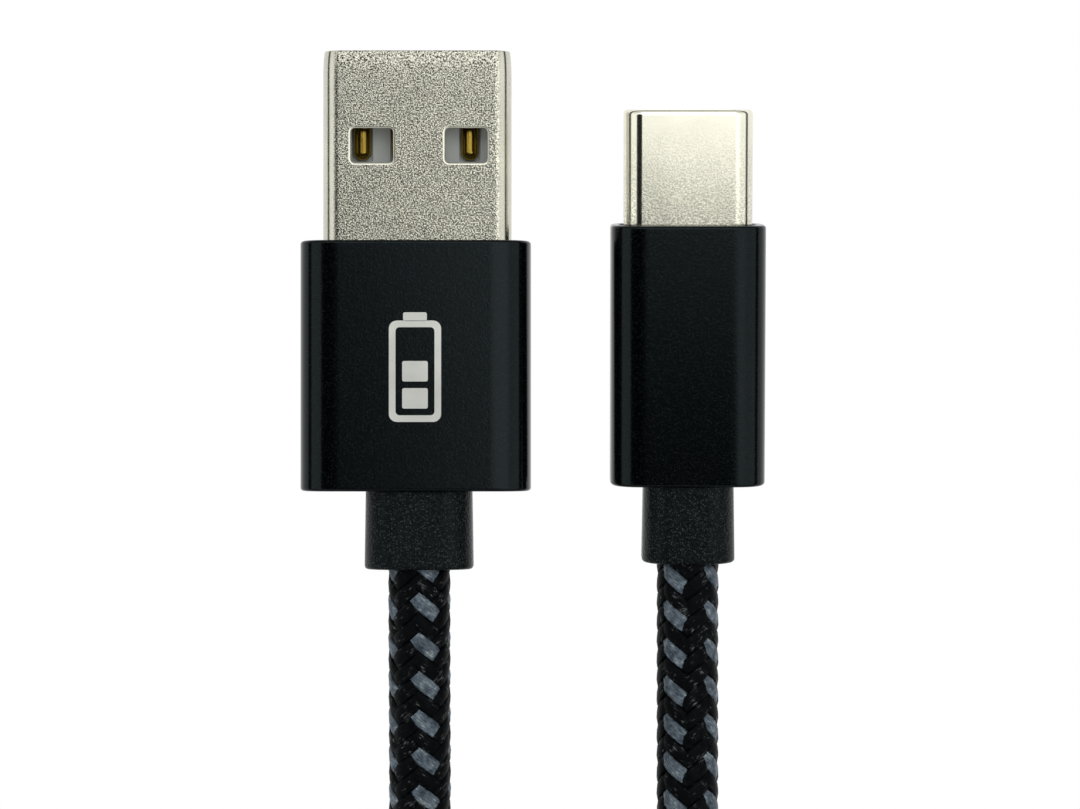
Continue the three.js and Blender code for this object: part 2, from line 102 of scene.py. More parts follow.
def hank_turns(step):
    """The middle line of the wound cord, from the widest point of the first outer turn to the widest
    point of the last inner one, about step apart."""
    waist_x = COLUMN / 2 + WAIST_RADIUS
    loop_reach = math.sqrt((INNER_RADIUS + WAIST_RADIUS) ** 2 - waist_x**2)
    lean = math.atan2(loop_reach, waist_x)
    arcs = [  # middle, radius, first and last angle, and 1 where the arc bulges outwards
        ((0, loop_reach), INNER_RADIUS, math.pi, math.pi + lean, 1),
        ((-waist_x, 0), WAIST_RADIUS, lean, -lean, -1),
        ((0, -loop_reach), INNER_RADIUS, math.pi - lean, 2 * math.pi + lean, 1),
        ((waist_x, 0), WAIST_RADIUS, math.pi + lean, math.pi - lean, -1),
        ((0, loop_reach), INNER_RADIUS, -lean, math.pi, 1),
    ]
    lengths = [abs(last - first) * radius for _, radius, first, last, _ in arcs]
    turn_length = sum(lengths)
    waist_at = sum(lengths[:3]) + lengths[3] / 2
    end = TURNS * turn_length - math.pi * INNER_RADIUS
    points = []
    for k in range(round(end / step) + 1):
        along = end * k / round(end / step)
        turn = min(int(along / turn_length), TURNS - 1)
        left = place = along - turn * turn_length
        for arc, length in zip(arcs, lengths):
            if left <= length or arc is arcs[-1]:
                break
            left -= length
        middle, radius, first, last, bulge = arc
        angle = first + (last - first) * min(left / length, 1.0)
        outward = (bulge * math.cos(angle), bulge * math.sin(angle))
        past_waist = place - waist_at
        column, layer = (COLUMN, turn) if turn < OUTER_TURNS else (0.0, OUTER_TURNS - 1)
        if turn < OUTER_TURNS - 1:
            layer += ease((past_waist - RAMP_START) / RAMP_LENGTH)
        elif turn == OUTER_TURNS - 1:
            column *= 1 - ease((past_waist - CROSS_START) / CROSS_LENGTH)
        else:
            layer -= turn - OUTER_TURNS + ease(place / SINK_LENGTH)
        x = middle[0] + radius * math.cos(angle) + outward[0] * column
        y = middle[1] + radius * math.sin(angle) + outward[1] * column
        lift = WAIST_LIFT * (1 - ease(abs(y) / WAIST_REACH))
        points.append((HANK_X + x, HANK_LOOP_Y - loop_reach + y, CORD_REST + COLUMN * layer + lift))
    return points


def smooth_line(points, step):
    """A smooth line near these points, with its own points step apart."""
    points = np.array(points, float)
    along = np.concatenate([[0], np.cumsum(np.linalg.norm(np.diff(points, axis=0), axis=1))])
    places = np.linspace(0, along[-1], round(along[-1] / step) + 1)
    line = np.stack([np.interp(places, along, points[:, k]) for k in range(3)], axis=1)
    reach = round(SMOOTHING / step)
    window = np.hanning(2 * reach + 3)[1:-1]
    before = line[0] + (line[0] - line[1]) * np.arange(reach, 0, -1)[:, None]
    after = line[-1] + (line[-1] - line[-2]) * np.arange(1, reach + 1)[:, None]
    padded = np.vstack([before, line, after])
    line = np.stack(
        [np.convolve(padded[:, k], window / window.sum(), "valid") for k in range(3)], axis=1
    )
    along = np.concatenate([[0], np.cumsum(np.linalg.norm(np.diff(line, axis=0), axis=1))])
    places = np.linspace(0, along[-1], round(along[-1] / step) + 1)
    return np.stack([np.interp(places, along, line[:, k]) for k in range(3)], axis=1), places


def carried_up(line):
    """For each point of the line, a direction square to it that starts and ends facing up and doesn't
    twist more than it must, and the direction square to both."""
    tangent = np.gradient(line, axis=0)
    tangent /= np.linalg.norm(tangent, axis=1)[:, None]
    up = np.zeros_like(line)
    up[0] = np.array([0, 0, 1.0]) - tangent[0, 2] * tangent[0]
    for i in range(1, len(line)):
        up[i] = up[i - 1] - np.dot(up[i - 1], tangent[i]) * tangent[i]
        up[i] /= np.linalg.norm(up[i])
    side = np.cross(up, tangent)
    wanted = np.array([0, 0, 1.0]) - tangent[-1, 2] * tangent[-1]
    turn = math.atan2(np.dot(wanted, side[-1]), np.dot(wanted, up[-1]))
    share = np.linspace(0, turn, len(line))[:, None]
    up, side = up * np.cos(share) + side * np.sin(share), side * np.cos(share) - up * np.sin(share)
    return up, side


def ribbon_mesh(name, centre, across, outward, section, lengthwise):
    """A closed band whose section, as (across, outward) places in millimetres, follows a line of centres.
    Its UV map holds the length along it, in millimetres, and the share of the way round the section."""
    rings, corners = len(centre), len(section)
    places = (
        centre[:, None]
        + section[None, :, :1] * across[:, None]
        + section[None, :, 1:2] * outward[:, None]
    )
    vertices = places.reshape(-1, 3) * MM
    ring, corner = np.meshgrid(np.arange(rings - 1), np.arange(corners), indexing="ij")
    ring, corner = ring.ravel(), corner.ravel()
    following = (corner + 1) % corners
    quads = np.stack(
        [
            ring * corners + corner,
            ring * corners + following,
            (ring + 1) * corners + following,
            (ring + 1) * corners + corner,
        ],
        axis=1,
    )
    mesh = bpy.data.meshes.new(name)
    caps = [list(range(corners))[::-1], list(range((rings - 1) * corners, rings * corners))]
    mesh.vertices.add(len(vertices))
    mesh.vertices.foreach_set("co", vertices.ravel())
    loops = np.concatenate([quads.ravel(), np.array(caps).ravel()])
    mesh.loops.add(len(loops))
    mesh.loops.foreach_set("vertex_index", loops)
    starts = np.concatenate([np.arange(len(quads)) * 4, len(quads) * 4 + np.array([0, corners])])
    mesh.polygons.add(len(starts))
    mesh.polygons.foreach_set("loop_start", starts)
    uv = mesh.uv_layers.new(name="along_yarn")
    u = np.stack([lengthwise[ring], lengthwise[ring], lengthwise[ring + 1], lengthwise[ring + 1]], axis=1)
    v = np.stack([corner, corner + 1, corner + 1, corner], axis=1) / corners
    pairs = np.concatenate([np.stack([u, v], axis=2).reshape(-1, 2), np.zeros((2 * corners, 2))])
    uv.data.foreach_set("uv", pairs.ravel())
    mesh.update(calc_edges=True)
    mesh.validate()
    mesh.shade_smooth()
    piece = bpy.data.objects.new(name, mesh)
    bpy.context.collection.objects.link(piece)
    return piece


YARN_PITCH = 9.8  # length of one whole turn of a yarn round the cord
STEPS_PER_TURN = 36
BRAID_RADIUS = 1.8  # of the middle of the braid's two layers
CROSSING_DEPTH = 0.095  # a yarn goes this far out where it lies on top, and in where it is crossed
COLUMN_AT_A, COLUMN_AT_C = 15.0, 30.0  # where the columns of grey floats lie, in degrees from the top
FIRST_GREY_A, FIRST_GREY_C = 3.35, 2.0  # from each end of the cord to its first grey float
YARN_SECTION = np.array([
    (-0.5, -0.01), (-0.25, -0.1), (0.25, -0.1), (0.5, -0.01), (0.36, 0.07), (0.0, 0.11), (-0.36, 0.07),
])
YARNS_EACH_WAY = 8
YARN_GAP = 360 / YARNS_EACH_WAY
CROSSINGS = 4  # that a yarn goes over, and as many under, in a turn
CROSSING_STEEPNESS = 1.7
YARN_SLANT = 51.0  # degrees from the cord's own direction
CORE_RADIUS = 1.7
CORE_SIDES = 12
CORE_STRIDE = 3  # the core is this much coarser than the yarns

line, along = smooth_line(
    lead_a + hank_turns(LINE_STEP) + lead_c[::-1], YARN_PITCH / STEPS_PER_TURN
)
up, side = carried_up(line)
cord_length = along[-1]

core_turns = np.linspace(0, 2 * math.pi, CORE_SIDES, endpoint=False)
core_section = CORE_RADIUS * np.stack([-np.sin(core_turns), np.cos(core_turns)], axis=1)
cord_core = ribbon_mesh(
    "cord_core", line[::CORE_STRIDE], side[::CORE_STRIDE], up[::CORE_STRIDE], core_section,
    along[::CORE_STRIDE]
)

# Whole turns of yarn over the length, so that the grey floats start where they should at both plugs.
first_angle = COLUMN_AT_A - 360 * FIRST_GREY_A / YARN_PITCH
last_angle = first_angle + 360 * (cord_length - FIRST_GREY_C) / YARN_PITCH
grey_gap = 2 * YARN_GAP
miss = (COLUMN_AT_C - last_angle + grey_gap / 2) % grey_gap - grey_gap / 2
turn_rate = (360 / YARN_PITCH) + miss / (cord_length - FIRST_GREY_C)
column_angle = COLUMN_AT_A + (COLUMN_AT_C - COLUMN_AT_A) * along / cord_length


def yarn(name, start_angle, lean):
    """One yarn of the braid. lean is 1 for the yarns that turn one way and -1 for those that cross them."""
    angle = start_angle + lean * turn_rate * along
    on_top = np.clip(
        CROSSING_STEEPNESS * np.cos(np.radians(CROSSINGS * (angle - column_angle))), -1, 1)
    on_top = np.sin(on_top * math.pi / 2)
    radius = BRAID_RADIUS + lean * CROSSING_DEPTH * on_top
    turned = np.radians(angle)[:, None]
    outward = np.cos(turned) * up + np.sin(turned) * side
    centre = line + radius[:, None] * outward
    forward = np.gradient(centre, axis=0)
    forward /= np.linalg.norm(forward, axis=1)[:, None]
    across = np.cross(forward, outward)
    across /= np.linalg.norm(across, axis=1)[:, None]
    outward = np.cross(across, forward)
    lengthwise = along / math.cos(math.radians(YARN_SLANT))
    return ribbon_mesh(name, centre, across, outward, YARN_SECTION, lengthwise)


braid = []
for i in range(YARNS_EACH_WAY):
    colour = "grey" if i % 2 == 0 else "black"
    braid.append(yarn(f"braid_{colour}_{i // 2 + 1}", first_angle + YARN_GAP * i, 1))
for i in range(YARNS_EACH_WAY):
    braid.append(yarn(f"braid_cross_{i + 1}", YARN_GAP * (i + 0.5), -1))


def feed(tree, socket, value):
    """Sets a socket to a number or a colour, or links another socket to it."""
    if isinstance(value, bpy.types.NodeSocket):
        tree.links.new(value, socket)
    elif isinstance(value, tuple):
        socket.default_value = (*value, 1)
    else:
        socket.default_value = value


def calculate(tree, operation, *values):
    node = tree.nodes.new("ShaderNodeMath")
    node.operation = operation
    for socket, value in zip(node.inputs, values):
        feed(tree, socket, value)
    return node.outputs[0]


def map_range(tree, value, low, high, to_low=0.0, to_high=1.0):
    """to_low where the value is low, to_high where it is high, and even in between."""
    node = tree.nodes.new("ShaderNodeMapRange")
    node.inputs["From Min"].default_value, node.inputs["From Max"].default_value = low, high
    node.inputs["To Min"].default_value, node.inputs["To Max"].default_value = to_low, to_high
    tree.links.new(value, node.inputs["Value"])
    return node.outputs["Result"]


def noise(tree, place, scale, detail, roughness=0.5):
    node = tree.nodes.new("ShaderNodeTexNoise")
    node.inputs["Scale"].default_value = scale
    node.inputs["Detail"].default_value = detail
    node.inputs["Roughness"].default_value = roughness
    tree.links.new(place, node.inputs["Vector"])
    return node.outputs["Fac"]


def colour_ramp(tree, value, *stops):
    """The colour at a value, from these pairs of a position and a colour."""
    node = tree.nodes.new("ShaderNodeValToRGB")
    elements = node.color_ramp.elements
    for element, (position, colour) in zip(elements, (stops[0], stops[-1])):
        element.position, element.color = position, (*colour, 1)
    for position, colour in stops[1:-1]:
        elements.new(position).color = (*colour, 1)
    tree.links.new(value, node.inputs["Fac"])
    return node.outputs["Color"]


def mix_colours(tree, share, below, above, kind="MIX"):
    node = tree.nodes.new("ShaderNodeMix")
    node.data_type, node.blend_type = "RGBA", kind
    for socket, value in ((node.inputs["Factor"], share), (node.inputs[6], below), (node.inputs[7], above)):
        feed(tree, socket, value)
    return node.outputs[2]


def add_bump(tree, height, strength, distance):
    """Bumps on top of those that the shader already has."""
    node = tree.nodes.new("ShaderNodeBump")
    node.inputs["Strength"].default_value = strength
    node.inputs["Distance"].default_value = distance
    tree.links.new(height, node.inputs["Height"])
    normal = tree.nodes["Principled BSDF"].inputs["Normal"]
    if normal.is_linked:
        tree.links.new(normal.links[0].from_socket, node.inputs["Normal"])
    tree.links.new(node.outputs["Normal"], normal)


def new_material(name):
    """A new material, its node tree, its shader, and the socket for a place on the piece."""
    material = bpy.data.materials.new(name)
    material.use_nodes = True
    tree = material.node_tree
    place = tree.nodes.new("ShaderNodeTexCoord").outputs["Object"]
    return material, tree, tree.nodes["Principled BSDF"], place


FILAMENT_STRETCH = (2.6, 30.0, 1.0)  # streaks for a millimetre along a yarn, and for once round it
FILAMENT_DETAIL = 3.0
TONE_SIZE = 1800.0  # patches of one tone, to a metre
TONE_DETAIL = 2.0
DARK_AT, LIGHT_AT, PAINTED_GLINT_AT = 0.12, 0.33, 0.44
FILAMENT_BUMP, FILAMENT_DEPTH = 0.7, 0.04


def yarn_material(name, dark, light, painted_glint, roughness, specular):
    """Flat multifilament yarn: fine streaks along it, a broken sheen, and painted glints on the brightest
    streaks.
    """
    material, tree, shader, place = new_material(name)
    uv = tree.nodes.new("ShaderNodeUVMap")
    uv.uv_map = "along_yarn"
    stretch = tree.nodes.new("ShaderNodeMapping")
    stretch.inputs["Scale"].default_value = FILAMENT_STRETCH
    tree.links.new(uv.outputs["UV"], stretch.inputs["Vector"])
    filaments = noise(tree, stretch.outputs["Vector"], 1.0, FILAMENT_DETAIL)
    tone = noise(tree, place, TONE_SIZE, TONE_DETAIL)
    # Above the light stop the colour goes to a painted highlight colour, as if the filaments caught the
    # light.
    colour = colour_ramp(tree, calculate(tree, "MULTIPLY", filaments, tone),
                         (DARK_AT, dark), (LIGHT_AT, light), (PAINTED_GLINT_AT, painted_glint))
    tree.links.new(colour, shader.inputs["Base Color"])
    shader.inputs["Roughness"].default_value = roughness
    shader.inputs["Specular IOR Level"].default_value = specular
    add_bump(tree, filaments, FILAMENT_BUMP, FILAMENT_DEPTH * MM)
    return material


grey_yarn = yarn_material("grey_yarn", dark=(0.02, 0.03, 0.045), light=(0.15, 0.19, 0.23),
                          painted_glint=(0.42, 0.46, 0.45), roughness=0.5, specular=0.2)
black_yarn = yarn_material("black_yarn", dark=(0.0003, 0.0005, 0.0007), light=(0.002, 0.003, 0.004),
                           painted_glint=(0.11, 0.12, 0.12), roughness=0.45, specular=0.05)
for piece in braid:
    piece.data.materials.append(grey_yarn if "grey" in piece.name else black_yarn)
    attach(piece, "cable")
cord_core.data.materials.append(black_yarn)
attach(cord_core, "cable")
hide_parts("cord_lead_a", "cord_lead_c", "cord_hank")

# ==== Sleeves ====================================================================================
# Each plug is held in a sleeve cut from drawn aluminium tube, with its ends turned round, bead-blasted
# and anodised black. The oval plug leans back on its thinner sleeve, five degrees tip up.
PLACES = {  # the middle of each sleeve's front opening, and the plug's pitch in degrees
    "a": ((-7.38, 4.4, 3.5), 0.0),
    "c": ((9.88, 5.5, 4.3358), 5.0),
}
SLEEVES = {
    "a": {"width": 14.7, "height": 7.0, "corner": 2.6, "length": 15.9, "offset": -0.1},
    "c": {"width": 9.9, "height": 5.8, "corner": 2.4, "length": 16.6, "offset": 0.0},
}
SLEEVE_WALL = 0.6
SLEEVE_RIM = 0.2
SLEEVE_FULLNESS = 0.6  # the corners start more gently than a circle's
SLEEVE_STEPS = 16  # facets on one corner
ALONG, UP = 1, 2  # axes of a plug
TOUCH = 0.01  # points nearer than this are in one place
SHARP = math.radians(60)


def add_block(name, width, height, front, rear, x=0.0, z=0.0):
    """A block round a plug's middle line, in millimetres, selected on its own."""
    bpy.ops.object.select_all(action="DESELECT")
    bpy.ops.mesh.primitive_cube_add(size=1, location=(x, (front + rear) / 2, z))
    block = bpy.context.object
    block.name = block.data.name = name
    block.scale = (width, front - rear, height)
    bpy.ops.object.transform_apply(location=True, rotation=True, scale=True)
    return block


def choose(piece):
    """Selects the piece on its own, and makes it the active one."""
    bpy.ops.object.select_all(action="DESELECT")
    piece.select_set(True)
    bpy.context.view_layer.objects.active = piece


def select(piece, kind, wanted):
    """Selects the faces or edges that wanted is true of, and no others, in edit mode."""
    bpy.ops.mesh.select_mode(type=kind)
    bpy.ops.mesh.select_all(action="DESELECT")
    shape = bmesh.from_edit_mesh(piece.data)
    for part in shape.faces if kind == "FACE" else shape.edges:
        part.select_set(bool(wanted(part)))
    bmesh.update_edit_mesh(piece.data)


def runs_along(edge, axis):
    step = edge.verts[1].co - edge.verts[0].co
    return abs(step[axis]) > 0.99 * step.length


def edge_middle(edge):
    return (edge.verts[0].co + edge.verts[1].co) / 2


def round_edges(piece, wanted, radius, steps, fullness=0.5):
    """Rounds the edges that wanted is true of, on the active piece."""
    bpy.ops.object.mode_set(mode="EDIT")
    select(piece, "EDGE", wanted)
    bpy.ops.mesh.bevel(offset=radius, segments=steps, affect="EDGES", profile=fullness)
    bpy.ops.object.mode_set(mode="OBJECT")


def round_axis(piece, axis, radius, steps, fullness=0.5):
    round_edges(piece, lambda edge: runs_along(edge, axis), radius, steps, fullness)


def open_ends(piece):
    bpy.ops.object.mode_set(mode="EDIT")
    select(piece, "FACE", lambda face: abs(face.normal.y) > 0.9)
    bpy.ops.mesh.delete(type="FACE")
    bpy.ops.object.mode_set(mode="OBJECT")


def apply(piece, kind, **settings):
    """Adds a modifier with these settings, and applies it."""
    choose(piece)
    modifier = piece.modifiers.new(kind.lower(), kind)
    for setting, value in settings.items():
        setattr(modifier, setting, value)
    bpy.ops.object.modifier_apply(modifier=modifier.name)


def finish_piece(piece, plug, material, smooth=35):
    """Shades the piece, brings it from its plug's own millimetres to its place, and hands it to its body.
    smooth is the sharpest angle, in degrees, that is shaded as a curve."""
    choose(piece)
    bpy.ops.object.shade_smooth_by_angle(angle=math.radians(smooth))
    apply(piece, "WEIGHTED_NORMAL", keep_sharp=True, weight=100)
    piece.scale = (MM, MM, MM)
    place, pitch = PLACES[plug]
    piece.location = [p * MM for p in place]
    piece.rotation_euler = (math.radians(pitch), 0, 0)
    bpy.ops.object.transform_apply(location=True, rotation=True, scale=True)
    piece.data.materials.clear()
    piece.data.materials.append(material)
    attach(piece, "cable")


GRAIN_DETAIL, GRAIN_ROUGHNESS = 3.0, 0.65
CLOUDS = 0.35  # to a millimetre
CLOUD_DETAIL = 3.0
CLOUD_RANGE = (0.3, 0.7)
# Where the painted glints fall, and how large they are:
SPECKS = 1.7  # to a grain
SPECK_CHOICE = (0.3, 1.0)
SPECK_EDGE = (0.55, 0.15)  # out from its middle, in cells


def grain_material(name, colour, metallic, roughness, specular, grain, bump, depth, mottle=0.25,
                   tint=(1.0, 1.0, 1.0), painted_glint=None):
    """A surface with a fine grain: bumps about one grain across and depth deep, in millimetres, and slight
    mottling. A few grains may be painted in a lighter colour, given last: painted glints, as if they caught
    the light."""
    material, tree, shader, place = new_material(name)
    fine = noise(tree, place, 1 / (grain * MM), GRAIN_DETAIL, GRAIN_ROUGHNESS)
    cloudy = noise(tree, place, CLOUDS / MM, CLOUD_DETAIL)
    darker = [c * (1 - mottle) for c in colour]
    surface = colour_ramp(tree, cloudy, (CLOUD_RANGE[0], darker), (CLOUD_RANGE[1], colour))
    # Painted glints: a few grains, chosen at random, are coloured lighter, as if they caught the light.
    if painted_glint:
        specks = tree.nodes.new("ShaderNodeTexVoronoi")
        specks.inputs["Scale"].default_value = SPECKS / (grain * MM)
        tree.links.new(place, specks.inputs["Vector"])
        which = tree.nodes.new("ShaderNodeSeparateColor")
        tree.links.new(specks.outputs["Color"], which.inputs["Color"])
        chosen = map_range(tree, which.outputs["Red"], *SPECK_CHOICE)
        near = map_range(tree, specks.outputs["Distance"], *SPECK_EDGE)
        surface = mix_colours(tree, calculate(tree, "MULTIPLY", chosen, near), surface, painted_glint)
    tree.links.new(surface, shader.inputs["Base Color"])
    add_bump(tree, fine, bump, depth * MM)
    shader.inputs["Metallic"].default_value = metallic
    shader.inputs["Roughness"].default_value = roughness
    shader.inputs["Specular IOR Level"].default_value = specular
    shader.inputs["Specular Tint"].default_value = (*tint, 1)
    return material


# Its few lighter grains are painted glints.
anodised = grain_material("anodised", (0.0004, 0.0006, 0.0008), metallic=0.0, roughness=0.15, specular=0.2,
                          grain=0.17, bump=0.8, depth=0.0045, tint=(0.72, 0.92, 1.0),
                          painted_glint=(0.012, 0.015, 0.018))
for plug, size in SLEEVES.items():
    sleeve = add_block(f"{plug}_sleeve_skin", size["width"], size["height"], 0, -size["length"],
                       size["offset"])
    round_axis(sleeve, ALONG, size["corner"], SLEEVE_STEPS, SLEEVE_FULLNESS)
    open_ends(sleeve)
    apply(sleeve, "SOLIDIFY", thickness=SLEEVE_WALL, offset=-1, use_even_offset=True)
    apply(sleeve, "BEVEL", width=SLEEVE_RIM, segments=4, limit_method="ANGLE", angle_limit=SHARP)
    finish_piece(sleeve, plug, anodised)
    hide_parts(f"{plug}_sleeve")

# ==== Rectangular shell ==========================================================================
# Folded from nickel-plated steel sheet 0.3 mm thick, with its seam along the underside, locked by a
# dovetail. Two square windows are punched through each wide face, and the front is drawn in a little.
SHELL_A = {"width": 12.0, "height": 4.5, "corner": 1.05, "steps": 12, "wall": 0.3, "tip": 12.1, "rear": -6.4}
WINDOW = {"width": 2.7, "length": 2.2, "x": 2.995, "y": 6.05, "offset": 0.145, "corner": 0.28}
ROLLED_EDGE, ROLLED_DEPTH = 0.14, 0.09  # where the punch has drawn a window's rim down
TIP_EDGE = 0.08
SEAM_WIDTH = 0.07
DOVETAIL = {"y": 3.2, "length": 2.4, "width": 1.5, "neck": 0.9}
DRAWN_IN = ((1.6, 1.0), (1.0, 0.9985), (0.5, 0.994), (0.0, 0.985))  # distance from the tip, and its scale
PEBBLED_REACH = 5.15  # to each side, before the corners that the folding has polished
PIT_DETAIL = 2.0
PIT_RANGE = (0.36, 0.62)
FLAT_FADE = (0.2, -0.1)  # past the reach, where the pebbling is gone and where it is full
POLISHED_PIT_SHADE, POLISHED_BUMP, RUBBED_BUMP = 0.12, 0.3, 0.15  # what is left of the painted pit shade and of the bumps there


def plated_material(name, colour, roughness, grain, bump, depth, pit_shade, flat=None, fade=None):
    """Nickel plating: a pebbled sheet that glints grain by grain, with painted shade darkening the hollows
    between the grains. flat is the middle of the flat faces and how far the pebbling reaches to each side.
    The rest is polished, with little painted shade, and so are the faces that are marked as rolled. fade
    is where along Y the pebbling and its painted shade start and where they are full. All of these are in
    metres."""
    material = grain_material(name, colour, metallic=1.0, roughness=roughness, specular=0.5, grain=grain,
                              bump=bump, depth=depth, mottle=0.12)
    tree = material.node_tree
    bump_share = tree.nodes["Bump"].inputs["Strength"]
    place = tree.nodes["Texture Coordinate"].outputs["Object"]
    # Painted shade: where the grain noise is low the colour is darker, as if the hollows were in shade.
    speckle = noise(tree, place, 1 / (grain * MM), PIT_DETAIL)
    painted_pit_shade = map_range(tree, speckle, *PIT_RANGE, 1 - pit_shade, 1.0)
    split = tree.nodes.new("ShaderNodeSeparateXYZ")
    tree.links.new(place, split.inputs["Vector"])
    if flat:
        middle, reach = flat
        distance = calculate(tree, "ABSOLUTE", calculate(tree, "SUBTRACT", split.outputs["X"], middle))
        rolled = tree.nodes.new("ShaderNodeAttribute")
        rolled.attribute_name = "rolled"
        pebbled = calculate(tree, "MULTIPLY", map_range(tree, rolled.outputs["Fac"], 1.0, 0.0),
                            map_range(tree, distance, *[reach + past * MM for past in FLAT_FADE]))
        pit_shade_share = map_range(tree, pebbled, 0.0, 1.0, POLISHED_PIT_SHADE, 1.0)
        tree.links.new(map_range(tree, pebbled, 0.0, 1.0, POLISHED_BUMP * bump, bump), bump_share)
    if fade:
        pit_shade_share = map_range(tree, split.outputs["Y"], *fade)
        tree.links.new(map_range(tree, split.outputs["Y"], *fade, RUBBED_BUMP * bump, bump), bump_share)
    base = tree.nodes["Principled BSDF"].inputs["Base Color"]
    tree.links.new(mix_colours(tree, pit_shade_share, base.links[0].from_socket, painted_pit_shade, "MULTIPLY"), base)
    return material


def cut_out(piece, cutter):
    apply(piece, "BOOLEAN", operation="DIFFERENCE", solver="EXACT", object=cutter)
    bpy.data.objects.remove(cutter)


def seam_cutter(width, front, rear):
    """A block through the wall of the shell's underside."""
    return add_block("seam", width, SHELL_A["wall"] + 0.2, front, rear, 0,
                     (SHELL_A["wall"] - SHELL_A["height"]) / 2)


def by_window(place, reach):
    """True within reach of a window's opening, seen from above."""
    across = abs(abs(place.x - WINDOW["offset"]) - WINDOW["x"])
    return (across < WINDOW["width"] / 2 + reach
            and abs(place.y - WINDOW["y"]) < WINDOW["length"] / 2 + reach)


def on_window_edge(edge, z):
    place = edge_middle(edge)
    return (by_window(place, TOUCH) and abs(place.z - z) < TOUCH
            and not runs_along(edge, UP) and edge.calc_face_angle(0) > 1)


def in_window_rim(vertex, z):
    return by_window(vertex.co, ROLLED_EDGE + TOUCH) and abs(vertex.co.z - z) < ROLLED_EDGE + TOUCH / 2


# Its pebbled flats carry full painted shade in their hollows.
plated_a = plated_material("plated_sheet", (0.72, 0.705, 0.605), roughness=0.15, grain=0.09, bump=1.0,
                           depth=0.014, pit_shade=1.0, flat=(PLACES["a"][0][0] * MM, PEBBLED_REACH * MM))
a_shell = add_block("a_shell_skin", SHELL_A["width"], SHELL_A["height"], SHELL_A["tip"], SHELL_A["rear"])
round_axis(a_shell, ALONG, SHELL_A["corner"], SHELL_A["steps"])
open_ends(a_shell)
bpy.ops.object.mode_set(mode="EDIT")
for distance, _ in DRAWN_IN[:-1]:
    bpy.ops.mesh.select_all(action="SELECT")
    bpy.ops.mesh.bisect(plane_co=(0, SHELL_A["tip"] - distance, 0), plane_no=(0, 1, 0))
for distance, scale in DRAWN_IN:
    ring_y = SHELL_A["tip"] - distance
    select(a_shell, "EDGE", lambda edge: all(abs(v.co.y - ring_y) < TOUCH for v in edge.verts))
    deeper = 1 - (1 - scale) * SHELL_A["width"] / SHELL_A["height"]
    bpy.ops.transform.resize(value=(scale, 1, deeper), center_override=(0, ring_y, 0))
bpy.ops.object.mode_set(mode="OBJECT")
apply(a_shell, "SOLIDIFY", thickness=SHELL_A["wall"], offset=-1, use_even_offset=True)

for side in (-1, 1):
    punch = add_block("punch", WINDOW["width"], SHELL_A["height"] + 1,
                      WINDOW["y"] + WINDOW["length"] / 2, WINDOW["y"] - WINDOW["length"] / 2,
                      side * WINDOW["x"] + WINDOW["offset"])
    round_axis(punch, UP, WINDOW["corner"], 5)
    cut_out(a_shell, punch)

dovetail_front = DOVETAIL["y"] + DOVETAIL["length"] / 2
dovetail_rear = DOVETAIL["y"] - DOVETAIL["length"] / 2
lean = math.atan2((DOVETAIL["width"] - DOVETAIL["neck"]) / 2, DOVETAIL["length"])
cut_out(a_shell, seam_cutter(SEAM_WIDTH, SHELL_A["tip"] + 1, dovetail_front))
cut_out(a_shell, seam_cutter(SEAM_WIDTH, dovetail_rear, SHELL_A["rear"] - 1))
for side in (-1, 1):
    flank = seam_cutter(SEAM_WIDTH, dovetail_front + SEAM_WIDTH / 2, dovetail_rear - SEAM_WIDTH / 2)
    flank.rotation_euler = (0, 0, side * lean)
    flank.location.x = side * ((DOVETAIL["width"] + DOVETAIL["neck"]) / 4 + DOVETAIL["y"] * math.sin(lean))
    flank.location.y = DOVETAIL["y"] * (1 - math.cos(lean))
    bpy.ops.object.transform_apply(location=True, rotation=True, scale=True)
    cut_out(a_shell, flank)
for end_y, reach in ((dovetail_front, DOVETAIL["neck"]), (dovetail_rear, DOVETAIL["width"])):
    cut_out(a_shell, seam_cutter(reach, end_y + SEAM_WIDTH / 2, end_y - SEAM_WIDTH / 2))

choose(a_shell)
bpy.ops.object.mode_set(mode="EDIT")
for face_z in (SHELL_A["height"] / 2, -SHELL_A["height"] / 2):
    select(a_shell, "EDGE", lambda edge: on_window_edge(edge, face_z))
    bpy.ops.mesh.bevel(offset=ROLLED_EDGE, segments=3, affect="EDGES")
    select(a_shell, "EDGE", lambda edge: all(in_window_rim(v, face_z) for v in edge.verts))
    bpy.ops.transform.resize(value=(1, 1, ROLLED_DEPTH / ROLLED_EDGE), center_override=(0, 0, face_z))
select(a_shell, "EDGE", lambda edge: abs(edge_middle(edge).y - SHELL_A["tip"]) < TOUCH
       and edge.is_manifold and edge.calc_face_angle() > 1)
bpy.ops.mesh.bevel(offset=TIP_EDGE, segments=3, affect="EDGES", clamp_overlap=True)
bpy.ops.object.mode_set(mode="OBJECT")
a_shell.data.attributes.new("rolled", "FLOAT", "FACE").data.foreach_set("value", [
    float(abs(face.normal.z) < 0.99 and by_window(face.center, ROLLED_EDGE))
    for face in a_shell.data.polygons])
finish_piece(a_shell, "a", plated_a, smooth=15)
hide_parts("a_shell")

# ==== Oval shell =================================================================================
# Deep-drawn from one piece of nickel-plated steel, so that it has no seam. Its sides are half round,
# and its front lip rolls inwards. It is polished in front and rubbed dull by its socket further back,
# where painted shade also darkens it.
SHELL_C = {"width": 8.25, "height": 2.4, "corner": 1.19, "steps": 16, "wall": 0.22, "tip": 7.3, "rear": -3.2}
LIP = {"length": 0.36, "inset": 0.2, "steps": 10}
RUBBED_AND_SHADED = (12.2, 5.5)  # from where to where the polish goes, back along the shell, and the painted shade grows
